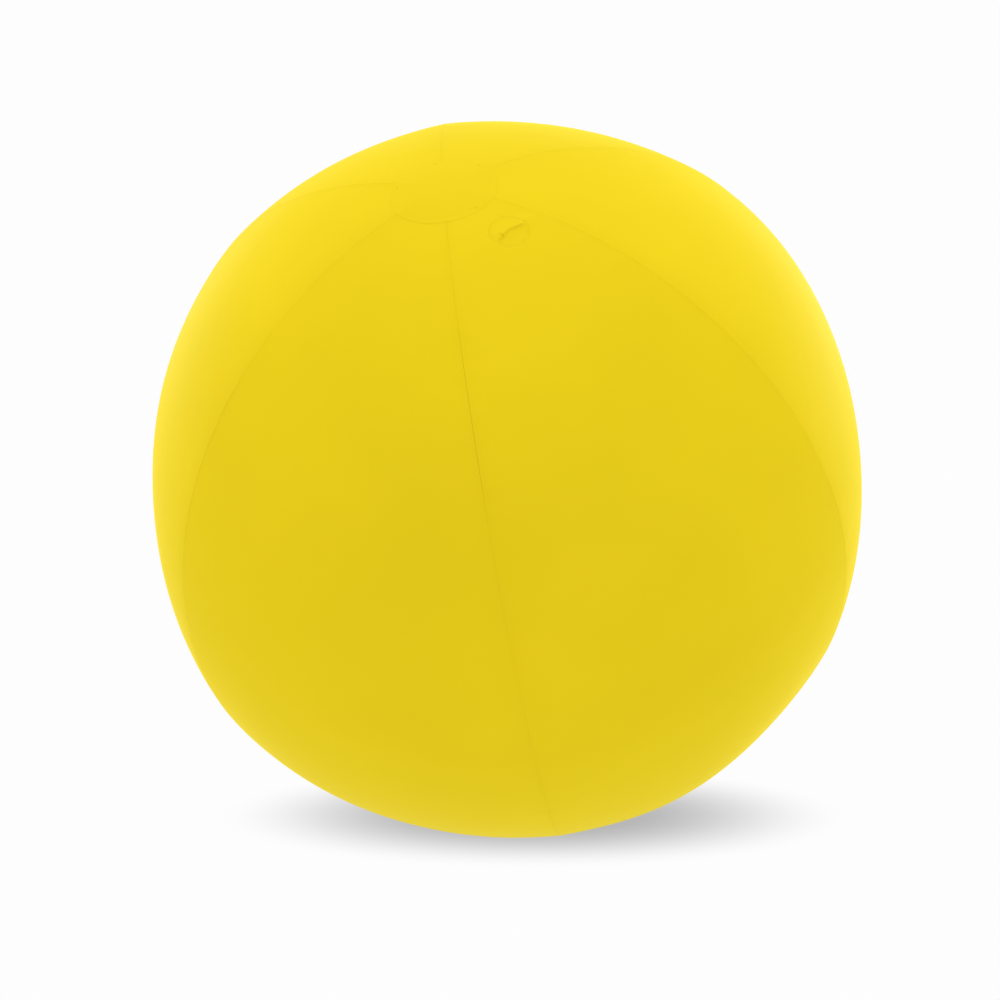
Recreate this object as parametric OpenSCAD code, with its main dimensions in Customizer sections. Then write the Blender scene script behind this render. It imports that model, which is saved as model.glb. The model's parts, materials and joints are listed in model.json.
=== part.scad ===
// Inflatable ball: six welded film panels, an end disc over each pole, and a push-in valve.
// The ball rests on a small flat in one panel, with its valve end leaning over.
// Origin: the middle of the rest face, under the centre of the ball. +Z is up, -Y is the front.

/* [Ball] */
// Diameter of the blown-up ball over the middle of its panels
ball_d = 280; // [270:10:340]
// Thickness of the plastic film
film_t = 0.2; // [0.15:0.05:0.3]
// Flatness of a panel across its width: the larger, the sharper the corner along each seam
panel_flat = 24; // [12:2:36]
// Width of the weld flange inside the ball along each edge of a panel
weld_w = 4; // [2:0.5:6]
// Diameter of the disc over each pole
disc_d = 40; // [30:1:42]

/* [Resting pose] */
// Lean of the pole axis away from upright
lean = 30; // [20:1:40]
// Compass direction of the lean, from +X
lean_to = -109; // [-125:1:-95]
// Turn of the ball about its own pole axis
spin = 20; // [14:1:26]
// How far the ball sinks into its own rest face
sag = 0.7; // [0.4:0.1:1.5]

/* [Valve place] */
// Angle along the surface from the pole to the valve
valve_from_pole = 14.5; // [13.5:0.5:18]
// Angle about the pole axis from the first seam to the valve
valve_turn = 38; // [26:1:38]
// Direction of the plug's strap about the valve axis
strap_turn = 90; // [0:15:345]

/* [Valve] */
// Outer radius of the flange welded behind the film
flange_r = 11; // [9.5:0.5:11.5]
// Thickness of the flange
flange_t = 0.8; // [0.6:0.1:1.2]
// Radius of the hole in the film over the valve
film_hole_r = 7.2; // [7:0.1:7.6]
// Outer radius of the soft skirt at the flange
skirt_r = 7.2; // [7.2:0.1:7.4]
// Depth of the skirt below the film
skirt_depth = 13.5; // [12:0.5:15]
// Radius of the stem's lip
lip_r = 6.4; // [6.3:0.05:6.5]
// Outer radius of the stem
stem_r = 4.8; // [4.4:0.1:4.8]
// Depth of the stem's inner end below the film
stem_depth = 14; // [13:0.5:16]
// Radius of the seat that the plug closes
seat_r = 3; // [3:0.05:3.1]
// Depth of the seat's step below the film
seat_depth = 5; // [4.5:0.1:6]
// Radius of the air port below the seat
port_r = 2.6; // [2:0.1:2.6]

/* [Plug and flap] */
// Radius of the plug's head
head_r = 6; // [5.6:0.1:6]
// Height of the head over its underside
head_h = 1; // [0.9:0.05:1.2]
// Radius of the plug's spigot under the head
spigot_r = 2.9; // [2.6:0.05:2.9]
// Radius of the spigot at its tip
spigot_tip_r = 2.05; // [1.6:0.05:2.1]
// Length of the spigot
spigot_l = 3.4; // [2.5:0.1:3.5]
// Width of the strap and of the pull tab
strap_w = 3; // [2:0.2:3.4]
// Radius of the check flap
flap_r = 3.8; // [3.4:0.1:4]
// Thickness of the check flap
flap_t = 0.5; // [0.3:0.1:0.6]

/* [Hidden] */
$fn = 96;

film_yellow = [0.87, 0.78, 0.10];
disc_yellow = [0.85, 0.76, 0.10];
valve_yellow = [0.90, 0.82, 0.22];

panel_count = 6;
rest_panel = 6;
valve_panel = 1;
ball_r = ball_d / 2;
half_angle = 180 / panel_count;
far = 2 * ball_d;
past_axis = 5;
disc_gap = 0.02;

// The direction of straight down in the ball's own frame, as a latitude and as an angle from the
// middle line of the rest panel; from them, the height of the ball's centre over the floor.
down_across = cos(90 - lean);
down_turn = half_angle - spin;
rest_reach = ball_r + panel_flat * down_across * (1 - cos(down_turn));
centre_h = rest_reach - sag;

// Along a seam, how far out the surface is at a distance r from the pole axis
function across(r) = norm([r * cos(half_angle) + panel_flat, r * sin(half_angle)]) - panel_flat;
function seam_reach(r) = norm([r, sqrt(pow(ball_r, 2) - pow(across(r), 2))]);
disc_in_r = seam_reach(disc_d / 2) + disc_gap;

// Heights in the valve's own frame, whose origin is on the film and whose z points outward
skirt_top = -0.45;
skirt_wall = 0.4;
skirt_foot_r = 5.6;
skirt_neck = -1.8;
lip_top = -0.6;
lip_t = 1;
plug_gap = 0.05;
head_under = lip_top + plug_gap;
dome_h = 0.45;
bead_r = 0.3;
hinge_out = 6.1;
hinge_up = head_under + bead_r;
strap_t = 0.5;
notch_in = 3.4;
notch_gap = 0.1;
tab_out = 6.6;
flap_top = -stem_depth - plug_gap;
flap_hinge_out = 4.2;
flap_root_w = 4;

// ---------- frames ----------

// Puts a shape from the ball's own frame, with the pole axis along z, into its resting pose
module in_ball()
    translate([0, 0, centre_h])
        rotate([0, 0, lean_to])
            rotate([0, lean, 0])
                rotate([0, 0, spin])
                    children();

// Turns a shape made about the middle line of a panel, along +x, to panel k
module in_panel(k)
    in_ball()
        rotate([0, 0, (2 * k - 1) * half_angle])
            children();

// Puts a shape from the valve's own frame into its place on the ball
module in_valve()
    in_ball()
        rotate([0, 0, valve_turn])
            rotate([0, valve_from_pole, 0])
                translate([0, 0, ball_r])
                    rotate([0, 0, strap_turn])
                        children();

// ---------- panels ----------

// Everything under the curved surface of a panel. The surface is turned about an axis set back
// from the pole axis, so that it is flatter across the panel than along it.
module swell(r)
    translate([-panel_flat, 0, 0])
        rotate([0, 0, -half_angle])
            rotate_extrude(angle = 2 * half_angle, $fn = 180)
                intersection() {
                    translate([panel_flat, 0])
                        circle(r = r, $fn = 180);
                    translate([panel_flat - past_axis, -far / 2])
                        square([far, far]);
                }

// The space between the two seam planes of a panel, drawn in by t on each side
module wedge(t)
    translate([t / sin(half_angle), 0, 0])
        linear_extrude(height = far, center = true)
            polygon([[0, 0], far * [cos(half_angle), -sin(half_angle)],
                     far * [cos(half_angle), sin(half_angle)]]);

// Everything above a level, which leaves the flat that the ball rests on
module above(level)
    translate([-far / 2, -far / 2, level])
        cube(far);

// The outside of a panel, and the air behind its film
module panel_block(k, t, level)
    if (k == rest_panel)
        intersection() {
            in_panel(k)
                intersection() {
                    swell(ball_r - t);
                    wedge(t);
                }
            above(level);
        }
    else
        in_panel(k)
            intersection() {
                swell(ball_r - t);
                wedge(t);
            }

// One panel: a film skin with a weld flange turned in along both edges
module panel(k)
    color(film_yellow)
        difference() {
            panel_block(k, 0, 0);
            panel_block(k, film_t, film_t);
            in_panel(k)
                swell(ball_r - film_t - weld_w);
            if (k == valve_panel)
                in_valve()
                    translate([0, 0, -skirt_depth])
                        cylinder(r = film_hole_r, h = 2 * skirt_depth);
        }

module panel_1() panel(1);
module panel_2() panel(2);
module panel_3() panel(3);
module panel_4() panel(4);
module panel_5() panel(5);
module panel_6() panel(6);

// ---------- end discs ----------

// A film disc welded over the tips of the panels, at the upper end (1) or the lower end (-1)
module end_disc(end)
    color(disc_yellow)
        in_ball()
            rotate([end > 0 ? 0 : 180, 0, 0])
                intersection() {
                    difference() {
                        sphere(r = disc_in_r + film_t, $fn = 180);
                        sphere(r = disc_in_r, $fn = 180);
                    }
                    cylinder(d = disc_d, h = ball_d);
                }

module top_disc() end_disc(1);
module bottom_disc() end_disc(-1);

// ---------- valve ----------

// The ring that is welded to the inside of the film
module valve_flange()
    color(valve_yellow)
        difference() {
            intersection() {
                in_panel(valve_panel)
                    difference() {
                        swell(ball_r - film_t);
                        swell(ball_r - film_t - flange_t);
                    }
                in_valve()
                    cylinder(r = flange_r, h = 2 * skirt_depth, center = true);
            }
            in_valve()
                cylinder(r = skirt_r, h = 2 * skirt_depth, center = true);
        }

// The thin sleeve that lets the stem be pushed in or pulled out
module valve_skirt()
    color(valve_yellow)
        in_valve()
            rotate_extrude()
                polygon([[skirt_r, skirt_top], [skirt_r, skirt_neck],
                         [skirt_foot_r, -skirt_depth], [skirt_foot_r - skirt_wall, -skirt_depth],
                         [skirt_r - skirt_wall, skirt_neck], [skirt_r - skirt_wall, skirt_top]]);

// The nozzle: a lip, a seat for the plug and a narrower air port below it
module valve_stem()
    color(valve_yellow)
        in_valve()
            rotate_extrude()
                polygon([[seat_r, lip_top], [lip_r, lip_top], [lip_r, lip_top - lip_t],
                         [stem_r, lip_top - lip_t], [stem_r, -stem_depth], [port_r, -stem_depth],
                         [port_r, -seat_depth], [seat_r, -seat_depth]]);

// The stopper: a low domed head with a pull tab, and a tapered spigot
module valve_plug()
    color(valve_yellow)
        in_valve() {
            difference() {
                union() {
                    translate([0, 0, head_under])
                        cylinder(r = head_r, h = head_h - dome_h);
                    translate([0, 0, head_under + head_h - dome_h])
                        head_dome();
                }
                translate([-2 * head_r, -strap_w / 2 - notch_gap, head_under - head_h])
                    cube([2 * head_r - notch_in, strap_w + 2 * notch_gap, 3 * head_h]);
            }
            translate([0, 0, head_under - spigot_l])
                cylinder(r1 = spigot_tip_r, r2 = spigot_r, h = spigot_l);
            translate([head_r - 1, -strap_w / 2, head_under])
                cube([tab_out - head_r + 1, strap_w, strap_t]);
        }

// A cap of a large ball, as wide as the head
module head_dome() {
    dome_r = (pow(head_r, 2) + pow(dome_h, 2)) / (2 * dome_h);
    intersection() {
        translate([0, 0, dome_h - dome_r])
            sphere(r = dome_r, $fn = 180);
        cylinder(r = head_r, h = dome_h);
    }
}

// The strap between the plug's head and the lip, with the round bead that it bends about
module plug_strap()
    color(valve_yellow)
        in_valve()
            union() {
                translate([-hinge_out, -strap_w / 2, hinge_up - strap_t / 2])
                    cube([hinge_out - notch_in, strap_w, strap_t]);
                translate([-hinge_out, 0, hinge_up])
                    rotate([90, 0, 0])
                        cylinder(r = bead_r, h = strap_w, center = true);
            }

// The disc that swings shut over the inner end of the air port
module check_flap()
    color(valve_yellow)
        in_valve()
            union() {
                translate([0, 0, flap_top - flap_t])
                    cylinder(r = flap_r, h = flap_t);
                translate([0, -flap_root_w / 2, flap_top - flap_t])
                    cube([flap_hinge_out, flap_root_w, flap_t]);
                translate([flap_hinge_out, 0, flap_top - flap_t / 2])
                    rotate([90, 0, 0])
                        cylinder(r = flap_t / 2, h = flap_root_w, center = true);
            }

panel_1();
panel_2();
panel_3();
panel_4();
panel_5();
panel_6();
top_disc();
bottom_disc();
valve_flange();
valve_skirt();
valve_stem();
valve_plug();
plug_strap();
check_flap();
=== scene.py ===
import json
import math

import bmesh
import bpy
import numpy as np
from mathutils import Matrix, Vector
from mathutils.geometry import delaunay_2d_cdt


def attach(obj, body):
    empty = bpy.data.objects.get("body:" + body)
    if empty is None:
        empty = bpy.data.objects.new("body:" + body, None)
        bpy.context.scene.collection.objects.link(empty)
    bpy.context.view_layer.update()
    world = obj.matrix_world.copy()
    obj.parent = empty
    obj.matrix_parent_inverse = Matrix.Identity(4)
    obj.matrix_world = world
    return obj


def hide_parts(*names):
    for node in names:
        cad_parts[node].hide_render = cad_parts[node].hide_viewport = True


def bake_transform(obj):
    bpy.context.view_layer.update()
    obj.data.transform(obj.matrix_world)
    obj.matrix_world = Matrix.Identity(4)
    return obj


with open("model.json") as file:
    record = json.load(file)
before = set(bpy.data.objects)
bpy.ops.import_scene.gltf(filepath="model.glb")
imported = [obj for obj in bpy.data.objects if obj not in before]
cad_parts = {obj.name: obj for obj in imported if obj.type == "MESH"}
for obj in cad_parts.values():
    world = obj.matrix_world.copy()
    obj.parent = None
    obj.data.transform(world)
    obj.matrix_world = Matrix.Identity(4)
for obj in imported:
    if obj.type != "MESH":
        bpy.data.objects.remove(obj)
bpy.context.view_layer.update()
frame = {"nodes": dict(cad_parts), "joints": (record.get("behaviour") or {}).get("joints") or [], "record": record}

MM = 0.001

# ---------- the ball, with the CAD's own sizes ----------
BALL_R = 140 * MM          # radius over the middle of a panel
FLAT = 24 * MM             # set-back of the axis that a panel is turned about
FILM_T = 0.2 * MM          # film thickness
PANELS = 6
HALF = math.radians(30)    # half a panel, about the pole axis
LEAN = math.radians(30)    # the pole axis leans this far from upright
LEAN_TO = math.radians(-109)   # towards this compass direction
SPIN = math.radians(20)    # turn of the panels about the pole axis
SAG = 0.7 * MM             # the ball's weight presses this much of it flat
DISC_R = 20 * MM
VALVE_PANEL = 1

# ---------- how the film is folded and welded ----------
FOLD_TIGHT = 0.04 * MM     # radius of the fold where a panel turns in at its seam
FOLD_OPEN = 0.20 * MM      # the same where the weld has opened a little
WELD_GAP = 0.01 * MM       # each panel's flange stands this far off the seam plane
WELD_W = 3.4 * MM          # width of the weld flange behind the fold
TIP_R = 9 * MM             # the panels' tips are cut off at this distance from the pole
PUCKER = 0.16 * MM         # height of the small puckers beside a seam
PUCKER_START = 1.3 * MM    # they grow over this width from the seam
PUCKER_REACH = 7 * MM      # and run this far into the panel
SEAM_DIP = 0.10 * MM       # the weld holds the film back a little along the seam
SEAM_DIP_W = 3.2 * MM
DISC_CALM = 14 * MM        # the puckers and the dip grow from nothing over this width past a disc

# Stretches of seam where the fold stands open: seam number, latitude of the middle, half length
OPEN_SEAMS = [(1, 50, 12), (6, 34, 17), (4, 10, 14), (3, -30, 12), (2, 5, 10), (5, 48, 9)]

# Low swells and hollows of the film: compass direction and height seen from the ball's centre
# (degrees), reach (degrees) and height in mm.
SWELLS = [
    (-32, -54, 17, 2.3),
    (-63, -68, 9, -0.9),
    (-147, -54, 20, 1.0),
    (-7, 6, 18, -1.1),
    (-171, -3, 18, -1.1),
    (175, 60, 16, 0.9),
    (0, 43, 14, 1.0),
]


# ---------- frames of reference ----------

def rot(axis, angle):
    return np.array(Matrix.Rotation(angle, 3, axis))


BALL_TURN = rot("Z", LEAN_TO) @ rot("Y", LEAN) @ rot("Z", SPIN)
REST_REACH = BALL_R + FLAT * math.sin(LEAN) * (1 - math.cos(HALF - SPIN))   # lowest point of the film
CENTRE = np.array([0, 0, REST_REACH - SAG])

# The valve's place and axis are the record's air port. Its x axis points away from the plug's hinge.
port = next(m for m in frame["record"]["mounts"] if m["name"] == "air_port")
hinge = next(j for j in frame["joints"] if j["name"] == "plug_swing")
VALVE_Z = np.array(port["axis"]) / np.linalg.norm(port["axis"])
VALVE_Y = -np.array(hinge["axis"]) / np.linalg.norm(hinge["axis"])
VALVE_TURN = np.column_stack([np.cross(VALVE_Y, VALVE_Z), VALVE_Y, VALVE_Z])
VALVE_AT = CENTRE + VALVE_Z * BALL_R


def to_world(p, turn, at):
    return np.asarray(p) @ turn.T + at


def in_valve(p):
    """Points of the valve's own frame, in mm, as points of the row frame."""
    return to_world(np.asarray(p, float) * MM, VALVE_TURN, VALVE_AT)


def from_world_to_valve(p):
    """Points of the row frame in the valve's own frame, in mm."""
    return (np.asarray(p) - VALVE_AT) @ VALVE_TURN / MM


def unit(v):
    return v / np.linalg.norm(v, axis=-1, keepdims=True)


# ---------- soft shape of the blown-up film ----------

def direction(compass, height):
    c, h = math.radians(compass), math.radians(height)
    return np.array([math.cos(h) * math.cos(c), math.cos(h) * math.sin(c), math.sin(h)])


def swell_height(world):
    """Height in metres of the low swells at points of the row frame."""
    d = unit(world - CENTRE)
    total = np.zeros(d.shape[:-1])
    for compass, height, reach, amount in SWELLS:
        away = np.degrees(np.arccos(np.clip(d @ direction(compass, height), -1, 1)))
        total += amount * MM * np.exp(-(away / reach) ** 2)
    return total


def fold_radius(seam, latitude):
    """Radius of the fold along a seam, in metres; latitude in degrees."""
    share = np.zeros_like(latitude)
    for number, middle, half in OPEN_SEAMS:
        if number == seam:
            share = np.maximum(share, np.exp(-((latitude - middle) / half) ** 4))
    return FOLD_TIGHT + (FOLD_OPEN - FOLD_TIGHT) * share


def pucker_wave(along, seed):
    """A wave of uneven length along a seam, from -1 to 1; along is in metres."""
    s = along / MM
    medium = np.sin(s * 2 * math.pi / 13.0 + seed * 1.7 + 1.3 * np.sin(s / 21.0 + seed))
    short = np.sin(s * 2 * math.pi / 7.9 + seed * 2.9 + 1.1 * np.sin(s / 13.0 + seed * 0.7))
    strength = 0.65 + 0.35 * np.sin(s * 2 * math.pi / 31.0 + seed * 0.9)
    return (0.5 * medium + 0.3 * short) * strength


# ---------- the film round the valve, in the valve's frame and in mm ----------
HOLE_R = 7.2               # the hole in the film
VALVE_DEEP = 20.0          # points further than this under the film are the ball's far side

# The pushed-in plug pinches the film: one soft ridge runs across the valve along its x axis
PINCH_H = 0.5
PINCH_W = 3.0
PINCH_REACH = 14.0
HINGE_LOW = 0.8            # share of its height that it loses on the hinge side, so the plug can open
HINGE_LOW_FROM = 6.0       # distance from the middle at which it has lost all that

# Sharper creases that run out from the valve: start, end, width and height
CREASES = [
    ((7.3, 0.0), (12.5, 0.5), 0.7, 0.45),
    ((-7.3, 0.3), (-11.0, 1.2), 1.0, 0.3),
    ((3.0, 8.0), (9.0, 15.0), 2.0, 0.25),
]
CREASE_START = 0.8         # they rise over this width past the hole's rim


def pinch(x, y):
    """Height in mm of the soft ridge at a point of the valve's frame."""
    low = 1 - HINGE_LOW * np.clip(-x / HINGE_LOW_FROM, 0, 1) ** 2
    return PINCH_H * low * np.exp(-(y / PINCH_W) ** 2 - (x / PINCH_REACH) ** 4)


def valve_relief(world):
    """Height in metres of the ridge and the creases round the valve."""
    v = from_world_to_valve(world)
    flat_at = v[..., :2]
    past_rim = np.clip(np.linalg.norm(flat_at, axis=-1) - HOLE_R, 0, None)
    free = 1 - np.exp(-(past_rim / CREASE_START) ** 2)
    total = pinch(v[..., 0], v[..., 1])
    for start, end, width, height in CREASES:
        start, run = np.array(start), np.array(end) - np.array(start)
        u = np.clip(((flat_at - start) @ run) / (run @ run), 0, 1)
        off = np.linalg.norm(flat_at - (start + u[..., None] * run), axis=-1)
        spread = width * (0.55 + 0.9 * u)
        total += free * height * (1 - u) ** 1.3 * np.exp(-(off / spread) ** 2)
    return np.where(v[..., 2] > -VALVE_DEEP, total, 0) * MM


def film_height(x, y):
    """Height in mm, in the valve's frame, of the panel's plain surface over the point (x, y)."""
    turn = BALL_TURN @ rot("Z", (2 * VALVE_PANEL - 1) * HALF)

    def off(height):
        q = (in_valve([x, y, height]) - CENTRE) @ turn
        return (math.hypot(math.hypot(q[0] + FLAT, q[1]) - FLAT, q[2]) - BALL_R) / MM
    z, step = 0.0, 0.01
    for _ in range(4):      # Newton's method
        z -= off(z) / ((off(z + step) - off(z)) / step)
    return z


def on_valve_panel(x, y):
    """The film's surface over a point (x, y) of the valve's frame, with its relief."""
    z = film_height(x, y)
    base = in_valve([x, y, z])
    lift = swell_height(base[None])[0] + valve_relief(base[None])[0]
    return in_valve([x, y, z + lift / MM])


# ---------- mesh helpers ----------

def new_object(name, points, faces, smooth=True):
    mesh = bpy.data.meshes.new(name)
    mesh.from_pydata([tuple(p) for p in points], [], faces)
    mesh.validate()
    mesh.update()
    ob = bpy.data.objects.new(name, mesh)
    bpy.context.scene.collection.objects.link(ob)
    mesh.polygons.foreach_set("use_smooth", [smooth] * len(mesh.polygons))
    return ob


def grid_faces(rows, cols, wrap=False):
    faces = []
    for i in range(rows - 1):
        for j in range(cols if wrap else cols - 1):
            k = (j + 1) % cols
            faces.append((i * cols + j, i * cols + k, (i + 1) * cols + k, (i + 1) * cols + j))
    return faces


def remove_loose_points(ob):
    bm = bmesh.new()
    bm.from_mesh(ob.data)
    loose = [v for v in bm.verts if not v.link_faces]
    bmesh.ops.delete(bm, geom=loose, context="VERTS")
    bm.to_mesh(ob.data)
    bm.free()


def weld_and_face_outwards(ob):
    bm = bmesh.new()
    bm.from_mesh(ob.data)
    bmesh.ops.remove_doubles(bm, verts=bm.verts, dist=1e-7)
    bmesh.ops.recalc_face_normals(bm, faces=bm.faces)
    bm.to_mesh(ob.data)
    bm.free()


def rounded(corners, steps=5):
    """A closed outline through (x, y, radius) corners, each rounded to its radius."""
    out, n = [], len(corners)
    for i, (x, y, rad) in enumerate(corners):
        p = np.array([x, y], float)
        a = np.array(corners[i - 1][:2], float) - p
        b = np.array(corners[(i + 1) % n][:2], float) - p
        len_a, len_b = np.linalg.norm(a), np.linalg.norm(b)
        a, b = a / len_a, b / len_b
        angle = math.acos(max(-1, min(1, float(a @ b))))
        if rad <= 0 or angle > math.pi - 0.02:
            out.append(tuple(p))
            continue
        lead = min(rad / math.tan(angle / 2), 0.49 * len_a, 0.49 * len_b)
        rad = lead * math.tan(angle / 2)
        centre = p + unit(a + b) * (rad / math.sin(angle / 2))
        start, end = p + a * lead - centre, p + b * lead - centre
        for q in range(steps + 1):
            u = q / steps
            out.append(tuple(centre + unit(start * (1 - u) + end * u) * rad))
    return out


def inset(outline, amount):
    """The outline moved inwards by amount, along each point's own normal."""
    p = np.array(outline)
    ahead, back = np.roll(p, -1, 0) - p, p - np.roll(p, 1, 0)
    tangent = unit(unit(ahead) + unit(back))
    normal = np.stack([-tangent[:, 1], tangent[:, 0]], -1)
    return p + normal * amount


def lathe(name, outline, turns=96, shape=None):
    """A solid of revolution about the valve's axis from a closed (r, z) outline in mm; shape moves z."""
    points, faces, n = [], [], len(outline)
    for q in range(turns):
        a = 2 * math.pi * q / turns
        ring = [(r * math.cos(a), r * math.sin(a), z) for r, z in outline]
        points += [(x, y, shape(x, y, z)) for x, y, z in ring] if shape else ring
        w = (q + 1) % turns
        for i in range(n):
            j = (i + 1) % n
            faces.append((q * n + i, q * n + j, w * n + j, w * n + i))
    ob = new_object(name, in_valve(points), faces)
    weld_and_face_outwards(ob)
    return ob


def plate(name, outline, low, top, edge_r, spacing):
    """A plate with rounded edges: outline in mm, flat underside at low, top a height function."""
    turning = [math.radians(deg) for deg in (0, 22.5, 45, 67.5, 90)]
    rings = []
    for a in turning:
        ring = inset(outline, edge_r * (1 - math.sin(a)))
        rings.append([(x, y, low + edge_r * (1 - math.cos(a))) for x, y in ring])
    for a in turning[::-1]:
        ring = inset(outline, edge_r * (1 - math.sin(a)))
        rings.append([(x, y, top(x, y) - edge_r * (1 - math.cos(a))) for x, y in ring])
    n = len(outline)
    points = [p for ring in rings for p in ring]
    faces = grid_faces(len(rings), n, wrap=True)
    for first, ring, height in ((0, rings[0], lambda x, y: low), (len(points) - n, rings[-1], top)):
        faces += fill_ring(points, first, ring, height, spacing)
    ob = new_object(name, in_valve(points), faces)
    weld_and_face_outwards(ob)
    return ob


def fill_ring(points, first, ring, height, spacing):
    """Triangles that close a ring of points, over a grid of new points added at the given height."""
    n = len(ring)
    edge = [Vector(p[:2]) for p in ring]
    xs, ys = [p.x for p in edge], [p.y for p in edge]
    inner = []
    for x in np.arange(min(xs) + spacing, max(xs), spacing):
        for y in np.arange(min(ys) + spacing, max(ys), spacing):
            if min((Vector((x, y)) - e).length for e in edge) > 0.6 * spacing:
                inner.append(Vector((x, y)))
    flat_points, _, triangles, origins = delaunay_2d_cdt(edge + inner, [], [list(range(n))], 1, 1e-7)[:4]
    index, faces = {}, []
    for triangle in triangles:
        for i in triangle:
            if i in index:
                continue
            on_ring = [s for s in origins[i] if s < n]
            if on_ring:
                index[i] = first + on_ring[0]
                continue
            x, y = flat_points[i]
            index[i] = len(points)
            points.append((x, y, height(x, y)))
        faces.append(tuple(index[i] for i in triangle))
    return faces


# ---------- panels ----------
ROWS = 230                 # rows of points from pole to pole on a plain panel
VALVE_ROWS = (175, 120)    # on the valve's panel: rows below VALVE_ROWS_FROM, and above it
VALVE_ROWS_FROM = math.radians(52)
FOLD_COLUMNS = 4           # columns of points round a fold
SIDE_COLUMNS = 38          # columns between a seam and the middle line
COLUMN_BIAS = 2.7          # how much closer the columns stand near the seam
FLANGE_COLUMNS = (1.0, 0.35)   # the flange's columns, as shares of its width from the fold
FAR_FROM_SEAM = 12 * MM    # distance given to the points added round the valve
WELD_SHADE_W = 3.0 * MM    # the weld's darker colour fades over this width


def panel_turn(k):
    """Turn of panel k: its own x axis is its middle line's direction, and z is the pole."""
    return BALL_TURN @ rot("Z", (2 * k - 1) * HALF)


def panel_rows(fine):
    """Angles of the rows along a panel, from one pole to the other."""
    end = math.acos(TIP_R / BALL_R)
    if not fine:
        return np.linspace(-end, end, ROWS)
    low = np.linspace(-end, VALVE_ROWS_FROM, VALVE_ROWS[0], endpoint=False)
    return np.concatenate([low, np.linspace(VALVE_ROWS_FROM, end, VALVE_ROWS[1])])


def half_panel(k, side):
    """Half of panel k in its own frame, as rows by columns from the flange to the middle line.

    The second result is each point's distance from the seam, which is 0 on the flange and the fold.
    """
    latitude = panel_rows(k == VALVE_PANEL)
    t = latitude[:, None]
    reach = FLAT + BALL_R * np.cos(t)
    calm = np.clip((BALL_R * np.cos(t) - DISC_R) / DISC_CALM, 0, 1)
    waves = pucker_wave(BALL_R * t, k * 2 + (side + 1) * 0.37)

    def gore(away, lift):
        """Points at a distance from the seam's plane and a height over the plain gore."""
        phi = HALF - np.arcsin((away + FLAT * math.sin(HALF)) / reach)
        out = FLAT + (BALL_R + lift) * np.cos(t)
        z = (BALL_R + lift) * np.sin(t) + 0 * phi
        return np.stack([out * np.cos(phi) - FLAT, side * out * np.sin(phi), z], -1), phi

    def film_at(away):
        world = to_world(gore(away, 0 * away)[0], panel_turn(k), CENTRE)
        lift = swell_height(world)
        if k == VALVE_PANEL:
            lift = lift + valve_relief(world)
        near = np.exp(-away / PUCKER_REACH) * (1 - np.exp(-away / PUCKER_START))
        lift = lift + PUCKER * calm * near * waves
        lift = lift - SEAM_DIP * calm * np.exp(-(away / SEAM_DIP_W) ** 2)
        return gore(away, lift)

    # Directions at the seam: along it, out of the ball, into the ball on the weld's plane, and
    # over the film towards the weld
    edge, phi = film_at(np.full_like(t, WELD_GAP))
    edge, phi = edge[:, 0], phi[:, 0]
    outward = np.stack([np.cos(phi) * np.cos(latitude), side * np.sin(phi) * np.cos(latitude),
                        np.sin(latitude)], -1)
    run = unit(np.gradient(edge, axis=0))
    from_seam = np.array([math.sin(HALF), -side * math.cos(HALF), 0])
    inward = unit(np.cross(run, from_seam))
    inward = inward * np.sign(-(inward * outward).sum(-1, keepdims=True))
    to_weld = unit(np.cross(run, outward))
    to_weld = to_weld * np.sign(-(to_weld @ from_seam))[:, None]

    # The fold is an arc between the film and the flange
    turning = np.arccos(np.clip((to_weld * inward).sum(-1), -1, 1))
    seam = k if side < 0 else k % PANELS + 1
    fold = fold_radius(seam, np.degrees(latitude))
    lead = fold * np.tan(turning / 2)
    fold = fold[:, None]
    centre = edge - to_weld * lead[:, None] - outward * fold
    columns = [edge + inward * (lead + WELD_W * share)[:, None] for share in FLANGE_COLUMNS]
    for i in range(FOLD_COLUMNS, 0, -1):
        a = (turning * i / FOLD_COLUMNS)[:, None]
        columns.append(centre + outward * fold * np.cos(a) + to_weld * fold * np.sin(a))

    # The body of the film runs from the fold to the middle line
    first = (WELD_GAP + lead * np.abs(to_weld @ from_seam))[:, None]
    middle = BALL_R * np.cos(t) * math.sin(HALF)
    ease = np.exp(COLUMN_BIAS * np.linspace(0, 1, SIDE_COLUMNS)) - 1
    away = first + (middle - first) * ease / ease[-1]
    points = np.concatenate([np.stack(columns, 1), film_at(away)[0]], 1)
    return points, np.concatenate([np.zeros((len(t), len(columns))), away], 1)


def panel_points(k):
    """World points of panel k as rows by columns, and each point's distance from its seam."""
    (left, near_left), (right, near_right) = half_panel(k, -1), half_panel(k, 1)
    points = np.concatenate([left, right[:, -2::-1]], 1)
    near = np.concatenate([near_left, near_right[:, -2::-1]], 1)
    return to_world(points, panel_turn(k), CENTRE), near


def rest_on_floor(points):
    """Presses whatever would lie below the floor flat against it, with a soft edge."""
    soft = 0.12 * MM
    z = points[..., 2]
    points[..., 2] = 0.5 * (z + np.sqrt(z * z + soft * soft))
    return points


HOLE_POINTS = 72
# Rings of points round the hole: mm past its edge, and turn in steps of a point
HOLE_RINGS = [(0.0, 0.0), (0.18, 0.0), (0.45, 0.5), (0.8, 0.5)]
HOLE_CLEAR = 1.0           # the panel's own points nearer the hole than this are taken out, mm


def border(faces):
    """The closed loop of points round a patch of faces."""
    edges = {}
    for f in faces:
        for a, b in zip(f, f[1:] + f[:1]):
            if (b, a) in edges:
                del edges[(b, a)]
            else:
                edges[(a, b)] = True
    follow = dict(edges.keys())
    loop = [next(iter(follow))]
    while follow[loop[-1]] != loop[0]:
        loop.append(follow[loop[-1]])
    return loop


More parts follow.
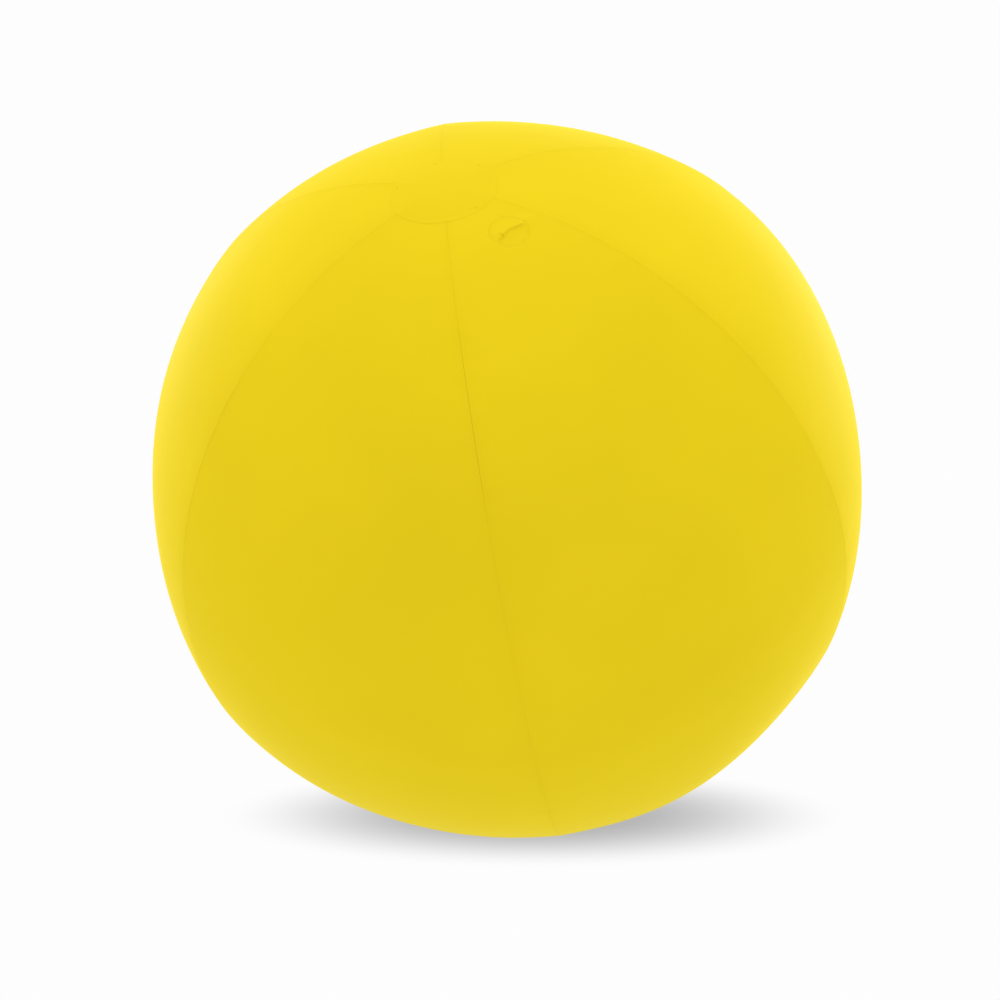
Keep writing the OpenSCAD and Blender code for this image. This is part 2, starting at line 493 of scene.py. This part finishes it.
def cut_valve_hole(points, faces):
    """Takes the faces over the valve out of the panel and fills up to the hole's round edge."""
    local = from_world_to_valve(points)
    over_valve = np.linalg.norm(local[:, :2], axis=1) < HOLE_R + HOLE_CLEAR
    inside = over_valve & (local[:, 2] > -VALVE_DEEP)
    kept, cut = [], []
    for f in faces:
        (cut if any(inside[list(f)]) else kept).append(f)
    loop = border(cut)
    n = len(loop)
    flat_points = [Vector(local[i][:2]) for i in loop]
    for extra, turn in HOLE_RINGS:
        for q in range(HOLE_POINTS):
            a = 2 * math.pi * (q + turn) / HOLE_POINTS
            flat_points.append(Vector((math.cos(a), math.sin(a))) * (HOLE_R + extra))
    rim = [(n + q, n + (q + 1) % HOLE_POINTS) for q in range(HOLE_POINTS)]
    flat_points, _, triangles, origins = delaunay_2d_cdt(flat_points, rim, [list(range(n))], 1, 1e-6)[:4]
    index, added = {}, []
    for i, sources in enumerate(origins):
        old = [s for s in sources if s < n]
        if old:
            index[i] = loop[old[0]]
            continue
        index[i] = len(points) + len(added)
        added.append(on_valve_panel(*flat_points[i]))
    chord = HOLE_R * math.cos(math.pi / HOLE_POINTS)
    for triangle in triangles:
        middle = sum((flat_points[i] for i in triangle), Vector((0, 0))) / 3
        if middle.length > chord - 1e-3:
            kept.append(tuple(index[i] for i in triangle))
    return np.concatenate([points, np.array(added)]), kept


def make_panel(k):
    points, near = panel_points(k)
    faces = grid_faces(*near.shape)
    points, near = rest_on_floor(points).reshape(-1, 3), near.reshape(-1)
    if k == VALVE_PANEL:
        points, faces = cut_valve_hole(points, faces)
        near = np.concatenate([near, np.full(len(points) - len(near), FAR_FROM_SEAM)])
    ob = new_object(f"film_panel_{k}", points, faces)
    face = ob.data.polygons[len(ob.data.polygons) // 2]
    if (np.array(face.center) - CENTRE) @ np.array(face.normal) < 0:
        ob.data.flip_normals()
    weld = ob.data.attributes.new("weld", "FLOAT", "POINT")
    weld.data.foreach_set("value", np.exp(-near / WELD_SHADE_W).astype(np.float32))
    remove_loose_points(ob)
    thick = ob.modifiers.new("film", "SOLIDIFY")
    thick.thickness = FILM_T
    thick.offset = -1
    thick.use_even_offset = False
    return ob


# ---------- end discs ----------
DISC_TURNS, DISC_RINGS = 144, 34
DISC_GAP = 0.03 * MM       # the disc lies this far over the panels
DISC_FADE = 6 * MM         # its film thins out towards the edge over this width
DISC_EDGE, DISC_RISE = 0.05, 0.924    # shares of the film's thickness at the edge, and added inside
WELD_RING_R = DISC_R - 2.2 * MM       # it is welded on along this ring
WELD_RING_W = 0.6 * MM
WELD_RING_DIP = 0.04 * MM
RIPPLE = 0.008 * MM        # the weld leaves the disc's edge a little uneven


def make_disc(name, end):
    """A film disc over the panels' tips, which follows them and is welded on near its edge."""
    turn = BALL_TURN if end > 0 else BALL_TURN @ rot("X", math.pi)
    radii = DISC_R * np.sin(np.linspace(0.02, 1, DISC_RINGS) * math.pi / 2)
    a = np.arange(DISC_TURNS) * 2 * math.pi / DISC_TURNS
    off_mid = (a % (2 * HALF)) - HALF

    def ring_of(r, lift):
        reach = np.hypot(r * np.cos(off_mid) + FLAT, r * np.sin(off_mid)) - FLAT
        z = np.sqrt(BALL_R ** 2 - reach ** 2)
        plain = np.stack([r * np.cos(a), r * np.sin(a), z], -1)
        world = to_world(plain * (1 + lift / np.sqrt(r * r + z * z))[:, None], turn, CENTRE)
        return world + unit(world - CENTRE) * swell_height(world)[:, None]

    rings = []
    for r in radii:
        weld = math.exp(-((r - WELD_RING_R) / WELD_RING_W) ** 2)
        inside = 1 - math.exp(-((DISC_R - r) / DISC_FADE) ** 2)
        ripple = RIPPLE * np.sin(a * 23 + 1.4 * np.sin(a * 3)) * (r / DISC_R) ** 6
        top = FILM_T * (DISC_EDGE + DISC_RISE * inside) - WELD_RING_DIP * weld + ripple
        rings.append(ring_of(r, DISC_GAP + top))
    for r in radii[::-1]:
        rings.append(ring_of(r, DISC_GAP))
    faces = grid_faces(len(rings), DISC_TURNS, wrap=True)
    last = (len(rings) - 1) * DISC_TURNS
    faces.append(tuple(range(DISC_TURNS))[::-1])
    faces.append(tuple(range(last, last + DISC_TURNS)))
    ob = new_object(name, np.concatenate(rings), faces)
    weld_and_face_outwards(ob)
    return ob


# ---------- valve, in its own frame and in mm ----------
LIP_TOP = -0.6             # top of the stem's lip, under the film
LIP_R = 6.4
LIP_T = 1.0
SEAT_R = 3.0               # the plug's seat in the stem
SEAT_DEPTH = 5.0
PORT_R = 2.6               # the air port below it
STEM_R = 4.8
STEM_DEPTH = 14.0

HEAD_R = 6.41              # the plug's head fills the skirt's rolled top
HEAD_UNDER = LIP_TOP + 0.05
HEAD_CUT = 5.66            # the head is cut straight here, beside the strap, so that it clears the rim
NOTCH_IN = 3.4             # the strap joins the head in a notch that reaches in to here
NOTCH_GAP = 0.015
HEAD_STEPS = 112
EDGE_R = 0.02              # rounding of the head's and the strap's edges
HEAD_SPACING, STRAP_SPACING = 0.35, 0.3   # grids of points on their faces

RIB_H = 0.8                # the grip rib that is moulded across the plug's head
RIB_HALF_W = 0.5
RIB_FROM, RIB_TO = -5.2, 6.1

STRAP_W = 3.0
STRAP_T = 0.5
STRAP_IN = 0.1             # the strap runs this far into the head
STRAP_LOW = 0.01           # and lies this far under the head's top
BEAD_R = 0.3
HINGE_UP = HEAD_UNDER + BEAD_R
STRAP_END = 6.4            # the strap ends this far out, just inside the rolled top

SKIRT_T = 0.4
SKIRT_R = 7.15             # the sleeve's outside at the film
SKIRT_NECK = -1.8          # it narrows from here down
SKIRT_FOOT = (5.6, -13.5)  # radius and height of its lower end
SKIRT_FOLDS = 2.5          # soft waves down the sleeve
SKIRT_FOLD_H = 0.07
ROLL_R = 6.43              # inside of the rolled top


def rib(x, y):
    """Height of the grip rib at (x, y); it bends a little and fades out at both ends."""
    bend = 0.45 * math.cos(x * 0.55) - 0.2
    across = math.exp(-((y - bend) / RIB_HALF_W) ** 2)
    return RIB_H * across / (1 + math.exp(-(x - RIB_FROM) * 3)) / (1 + math.exp((x - RIB_TO) * 3))


def head_top(x, y):
    """The head's top carries on the film's own surface and ridge, and adds the rib."""
    return film_height(x, y) + pinch(x, y) + rib(x, y)


def strap_top(x, y):
    return max(head_top(x, y) - STRAP_LOW, HINGE_UP + 0.05)


def make_plug_head():
    cut = math.acos(HEAD_CUT / HEAD_R)
    notch = STRAP_W / 2 + NOTCH_GAP
    corners = []
    for a in np.linspace(math.pi + cut, 3 * math.pi - cut, HEAD_STEPS + 1):
        corners.append((HEAD_R * math.cos(a), HEAD_R * math.sin(a), 0))
    corners += [(-HEAD_CUT, notch, 0), (-NOTCH_IN, notch, 0.1)]
    corners += [(-NOTCH_IN, -notch, 0.1), (-HEAD_CUT, -notch, 0)]
    return plate("plug_head", rounded(corners), HEAD_UNDER, head_top, EDGE_R, HEAD_SPACING)


def make_plug_spigot():
    """The plug's round stopper, with a bead that holds it in the seat."""
    return lathe("plug_spigot", rounded([
        (0.0, HEAD_UNDER + 0.3, 0), (2.9, HEAD_UNDER + 0.3, 0), (2.9, HEAD_UNDER, 0.05),
        (2.62, HEAD_UNDER - 1.6, 0.3), (2.74, HEAD_UNDER - 2.05, 0.25), (2.46, HEAD_UNDER - 2.5, 0.3),
        (2.05, HEAD_UNDER - 3.4, 0.35), (0.0, HEAD_UNDER - 3.15, 0)]), turns=72)


def make_strap():
    """The strap, with two ears at its root that fill the head's straight cut."""
    half = STRAP_W / 2
    ear = HEAD_CUT + 0.03
    ear_y = math.sqrt(STRAP_END ** 2 - ear ** 2)
    side = np.linspace(-NOTCH_IN - 0.4, -ear, 7)
    corners = [(-NOTCH_IN + STRAP_IN, -half, 0.1), (-NOTCH_IN + STRAP_IN, half, 0.1)]
    corners += [(x, half, 0) for x in side]
    corners += [(-math.sqrt(STRAP_END ** 2 - y * y), y, 0) for y in np.linspace(ear_y, -ear_y, 21)]
    corners += [(x, -half, 0) for x in side[::-1]]
    return plate("strap", rounded(corners), HINGE_UP - STRAP_T / 2, strap_top, EDGE_R, STRAP_SPACING)


def make_stem():
    return lathe("stem", rounded([
        (SEAT_R, LIP_TOP, 0.2), (SEAT_R, -SEAT_DEPTH, 0.1), (PORT_R, -SEAT_DEPTH, 0.1),
        (PORT_R, -STEM_DEPTH, 0.15), (STEM_R, -STEM_DEPTH, 0.3), (STEM_R, LIP_TOP - LIP_T, 0.3),
        (LIP_R, LIP_TOP - LIP_T, 0.3), (LIP_R, LIP_TOP, 0.3)]))


def make_skirt():
    """The soft sleeve, with a rolled top edge that lies close round the lip, level with the film."""
    foot_r, foot_z = SKIRT_FOOT
    outer = [(SKIRT_R + 0.02, -0.02), (SKIRT_R + 0.02, -0.5), (SKIRT_R, -0.7), (SKIRT_R, SKIRT_NECK)]
    for u in np.linspace(0, 1, 25)[1:]:
        wave = SKIRT_FOLD_H * math.sin(u * SKIRT_FOLDS * 2 * math.pi)
        outer.append((SKIRT_R + (foot_r - SKIRT_R) * u + wave, SKIRT_NECK + (foot_z - SKIRT_NECK) * u))
    inner = [(r - SKIRT_T, z) for r, z in outer[:0:-1]]
    roll = [(ROLL_R, -0.6), (ROLL_R, -0.02), (ROLL_R + 0.03, 0), (6.8, 0), (SKIRT_R - 0.01, 0)]

    def follow(x, y, z):
        share = min(max(1 - z / SKIRT_NECK, 0.0), 1.0)
        return z + share * (film_height(x, y) + pinch(x, y))
    return lathe("skirt", outer + inner + roll, shape=follow)


# ---------- the pieces, and what each one rides on and stands for ----------
film = [make_panel(k) for k in range(1, PANELS + 1)]
for k, ob in enumerate(film, 1):
    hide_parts(f"panel_{k}")
    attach(ob, "ball")
discs = [make_disc("disc_upper", 1), make_disc("disc_lower", -1)]
for ob, node in zip(discs, ("top_disc", "bottom_disc")):
    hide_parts(node)
    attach(ob, "ball")

plug_head = make_plug_head()
plug_spigot = make_plug_spigot()
strap = make_strap()
stem = make_stem()
skirt = make_skirt()
valve = [plug_head, plug_spigot, strap, stem, skirt]
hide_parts("valve_plug")
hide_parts("plug_strap")
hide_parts("valve_stem")
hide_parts("valve_skirt")
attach(plug_head, "plug")
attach(plug_spigot, "plug")
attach(stem, "stem")
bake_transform(strap)
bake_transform(skirt)

# ---------- materials ----------
FILM_YELLOW = (0.788, 0.594, 0.0105)
DISC_YELLOW = (0.776, 0.585, 0.0105)
VALVE_YELLOW = (0.788, 0.595, 0.0105)
WELD_TINT = (0.80, 0.74, 0.4)      # the weld's colour, as a share of the film's
WELD_SHADE = 0.1                   # how much of that tint shows right at the weld
SHEEN_TINT = (1.0, 0.82, 0.07)     # soft PVC glows in its own colour towards its outline
CLOUD_DARK, CLOUD_LIGHT = 0.975, 1.02      # the film's colour varies between these shares


def noise(tree, coord, scale, detail):
    node = tree.nodes.new("ShaderNodeTexNoise")
    node.inputs["Scale"].default_value = scale
    node.inputs["Detail"].default_value = detail
    tree.links.new(coord, node.inputs["Vector"])
    return node.outputs["Fac"]


def bump(tree, height, strength, distance, under=None):
    node = tree.nodes.new("ShaderNodeBump")
    node.inputs["Strength"].default_value = strength
    node.inputs["Distance"].default_value = distance
    tree.links.new(height, node.inputs["Height"])
    if under:
        tree.links.new(under, node.inputs["Normal"])
    return node.outputs["Normal"]


def cloudy_colour(tree, coord, base):
    ramp = tree.nodes.new("ShaderNodeValToRGB")
    dark, light = ramp.color_ramp.elements
    dark.position, light.position = 0.3, 0.7
    dark.color = (*[c * CLOUD_DARK for c in base], 1)
    light.color = (*[c * CLOUD_LIGHT for c in base], 1)
    tree.links.new(noise(tree, coord, 16, 3), ramp.inputs["Fac"])
    return ramp.outputs["Color"]


def shaded_at_weld(tree, colour):
    """The colour, darker where the mesh's weld attribute is high."""
    weld = tree.nodes.new("ShaderNodeAttribute")
    weld.attribute_name = "weld"
    share = tree.nodes.new("ShaderNodeMath")
    share.operation = "MULTIPLY"
    share.inputs[1].default_value = WELD_SHADE
    mix = tree.nodes.new("ShaderNodeMix")
    mix.data_type = "RGBA"
    mix.blend_type = "MULTIPLY"
    factor, under, over = mix.inputs[0], mix.inputs[6], mix.inputs[7]
    over.default_value = (*WELD_TINT, 1)
    tree.links.new(weld.outputs["Fac"], share.inputs[0])
    tree.links.new(share.outputs[0], factor)
    tree.links.new(colour, under)
    return mix.outputs[2]


def film_material(name, base, rough, grain, weld=False):
    """Soft PVC film: faint cloudy colour, satin gloss with uneven roughness, calender grain."""
    mat = bpy.data.materials.new(name)
    mat.use_nodes = True
    tree = mat.node_tree
    tree.nodes.clear()
    out = tree.nodes.new("ShaderNodeOutputMaterial")
    film_shader = tree.nodes.new("ShaderNodeBsdfPrincipled")
    coord = tree.nodes.new("ShaderNodeTexCoord").outputs["Object"]
    colour = cloudy_colour(tree, coord, base)
    if weld:
        colour = shaded_at_weld(tree, colour)
    gloss = tree.nodes.new("ShaderNodeMapRange")
    gloss.inputs["To Min"].default_value = rough - 0.05
    gloss.inputs["To Max"].default_value = rough + 0.06
    tree.links.new(noise(tree, coord, 38, 4), gloss.inputs["Value"])
    uneven = bump(tree, noise(tree, coord, 60, 2), 0.35, 0.12 * MM)
    normal = bump(tree, noise(tree, coord, 1500, 2), 0.3, grain, under=uneven)

    film_shader.inputs["IOR"].default_value = 1.5
    film_shader.inputs["Specular IOR Level"].default_value = 0.003
    film_shader.inputs["Sheen Weight"].default_value = 0.8
    film_shader.inputs["Sheen Roughness"].default_value = 0.4
    film_shader.inputs["Sheen Tint"].default_value = (*SHEEN_TINT, 1)
    tree.links.new(colour, film_shader.inputs["Base Color"])
    tree.links.new(gloss.outputs["Result"], film_shader.inputs["Roughness"])
    tree.links.new(normal, film_shader.inputs["Normal"])
    tree.links.new(film_shader.outputs[0], out.inputs[0])
    return mat


film_pvc = film_material("film_pvc", FILM_YELLOW, 0.42, 0.02 * MM, weld=True)
disc_pvc = film_material("disc_pvc", DISC_YELLOW, 0.42, 0.02 * MM)
valve_pvc = film_material("valve_pvc", VALVE_YELLOW, 0.36, 0.012 * MM)
for ob in film:
    ob.data.materials.append(film_pvc)
for ob in discs:
    ob.data.materials.append(disc_pvc)
for ob in valve:
    ob.data.materials.append(valve_pvc)
for node in ("valve_flange", "check_flap"):
    ob = frame["nodes"][node]
    ob.data.materials.clear()
    ob.data.materials.append(valve_pvc)

# ---------- floor ----------
FLOOR_HALF = 30.0
FLOOR_DOWN = 0.05 * MM                # the floor lies this far under the ball's flat patch
FLOOR_WHITE = 0.983
# The ball's shadow on the floor is not cast by the lights: it is a painted shadow, a soft dark ellipse in the
# floor's glow
FLOOR_PAINTED_SHADOW = 0.43                    # brightness of the painted shadow right under the ball
PAINTED_SHADOW_AT = (11 * MM, -1 * MM)         # middle of the soft shadow that is painted on the floor under the ball
PAINTED_SHADOW_HALF = (130 * MM, 62 * MM)      # its half length and half width
PAINTED_SHADOW_CORE = 0.08                     # share of that which is in full painted shadow
PAINTED_SHADOW_FALL = 1.5                      # exponent of its fading, above 1 for a wider dark part


def make_floor():
    """A pale glowing floor of even brightness, with a soft shadow of the ball painted into its own material."""
    h = FLOOR_HALF
    corners = [(-h, -h, -FLOOR_DOWN), (h, -h, -FLOOR_DOWN), (h, h, -FLOOR_DOWN), (-h, h, -FLOOR_DOWN)]
    ob = new_object("floor", corners, [(0, 1, 2, 3)], smooth=False)
    mat = bpy.data.materials.new("floor_white_painted_shadow")
    mat.use_nodes = True
    nodes, links = mat.node_tree.nodes, mat.node_tree.links
    nodes.clear()
    coord = nodes.new("ShaderNodeTexCoord")
    # painted shadow: the floor's glow is dimmed inside a soft ellipse under the ball, worked out from the floor's
    # own coordinates
    place = nodes.new("ShaderNodeMapping")
    place.vector_type = "TEXTURE"
    place.inputs["Location"].default_value = (*PAINTED_SHADOW_AT, 0)
    place.inputs["Scale"].default_value = (*PAINTED_SHADOW_HALF, 1)
    away = nodes.new("ShaderNodeVectorMath")
    away.operation = "LENGTH"
    fade = nodes.new("ShaderNodeMapRange")
    fade.interpolation_type = "SMOOTHSTEP"
    fade.inputs["From Min"].default_value = PAINTED_SHADOW_CORE
    fade.inputs["From Max"].default_value = 1.0
    fall = nodes.new("ShaderNodeMath")
    fall.operation = "POWER"
    fall.inputs[1].default_value = PAINTED_SHADOW_FALL
    bright = nodes.new("ShaderNodeMapRange")
    bright.inputs["To Min"].default_value = FLOOR_PAINTED_SHADOW
    bright.inputs["To Max"].default_value = FLOOR_WHITE
    glow = nodes.new("ShaderNodeEmission")
    out = nodes.new("ShaderNodeOutputMaterial")
    links.new(coord.outputs["Object"], place.inputs["Vector"])
    links.new(place.outputs["Vector"], away.inputs[0])
    links.new(away.outputs["Value"], fade.inputs["Value"])
    links.new(fade.outputs["Result"], fall.inputs[0])
    links.new(fall.outputs[0], bright.inputs["Value"])
    links.new(bright.outputs["Result"], glow.inputs["Strength"])
    links.new(glow.outputs[0], out.inputs[0])
    mat.cycles.emission_sampling = "NONE"
    ob.data.materials.append(mat)


# ---------- light ----------
# Softboxes: name, place and size in metres, power in watts
SOFTBOXES = [
    ("top_box", (0.0, 0.25, 1.85), (1.4, 1.0), 4.4),
    ("left_box", (-1.25, 1.25, 0.40), (1.6, 0.7), 7.0),
    ("right_box", (1.25, 1.25, 0.40), (1.6, 0.7), 11.0),
]
# Brightness of the soft studio by the height of the direction, from level (0) to overhead (1)
STUDIO = [(0.0, 0.81), (0.35, 0.87), (0.8, 1.18)]
STUDIO_TOP = 1.25


def make_softbox(name, at, size, power):
    light = bpy.data.lights.new(name, "AREA")
    light.shape = "RECTANGLE"
    light.size, light.size_y = size
    light.energy = power
    ob = bpy.data.objects.new(name, light)
    bpy.context.scene.collection.objects.link(ob)
    ob.location = at
    ob.rotation_mode = "QUATERNION"
    ob.rotation_quaternion = (Vector(CENTRE) - Vector(at)).to_track_quat("-Z", "Y")


def make_studio():
    """Soft light that is brighter from above, and a plain white background."""
    world = bpy.data.worlds.new("studio")
    bpy.context.scene.world = world
    world.use_nodes = True
    nodes, links = world.node_tree.nodes, world.node_tree.links
    nodes.clear()
    coord = nodes.new("ShaderNodeTexCoord")
    split = nodes.new("ShaderNodeSeparateXYZ")
    by_height = nodes.new("ShaderNodeValToRGB")
    ramp = by_height.color_ramp
    ramp.interpolation = "EASE"
    while len(ramp.elements) < len(STUDIO):
        ramp.elements.new(0.5)
    for element, (height, bright) in zip(ramp.elements, STUDIO):
        element.position = height
        element.color = (bright / STUDIO_TOP,) * 3 + (1,)
    light, background = nodes.new("ShaderNodeBackground"), nodes.new("ShaderNodeBackground")
    light.inputs["Strength"].default_value = STUDIO_TOP
    background.inputs["Color"].default_value = (1, 1, 1, 1)
    background.inputs["Strength"].default_value = FLOOR_WHITE
    path = nodes.new("ShaderNodeLightPath")
    mix = nodes.new("ShaderNodeMixShader")
    out = nodes.new("ShaderNodeOutputWorld")
    links.new(coord.outputs["Generated"], split.inputs[0])
    links.new(split.outputs["Z"], by_height.inputs["Fac"])
    links.new(by_height.outputs["Color"], light.inputs["Color"])
    links.new(path.outputs["Is Camera Ray"], mix.inputs[0])
    links.new(light.outputs[0], mix.inputs[1])
    links.new(background.outputs[0], mix.inputs[2])
    links.new(mix.outputs[0], out.inputs[0])


# ---------- camera ----------
CAM_AWAY = 0.98            # metres from the ball's centre
CAM_UP = math.radians(12)
CAM_LENS = 89.0
CAM_AIM_LEFT = 2.6 * MM    # the ball sits a little right of the middle of the frame
CAM_AIM_DOWN = 8.4 * MM    # and a little above it


def make_camera():
    data = bpy.data.cameras.new("camera")
    data.lens = CAM_LENS
    data.sensor_width = 36
    data.clip_start, data.clip_end = 0.01, 100
    cam = bpy.data.objects.new("camera", data)
    bpy.context.scene.collection.objects.link(cam)
    cam.location = Vector(CENTRE) + Vector((0, -math.cos(CAM_UP), math.sin(CAM_UP))) * CAM_AWAY
    aim = Vector(CENTRE) + Vector((-CAM_AIM_LEFT, 0, -CAM_AIM_DOWN))
    cam.rotation_mode = "QUATERNION"
    cam.rotation_quaternion = (aim - cam.location).to_track_quat("-Z", "Y")
    bpy.context.scene.camera = cam


make_floor()
for softbox in SOFTBOXES:
    make_softbox(*softbox)
make_studio()
make_camera()
bpy.context.scene.view_settings.view_transform = "Standard"
bpy.context.scene.view_settings.look = "None"
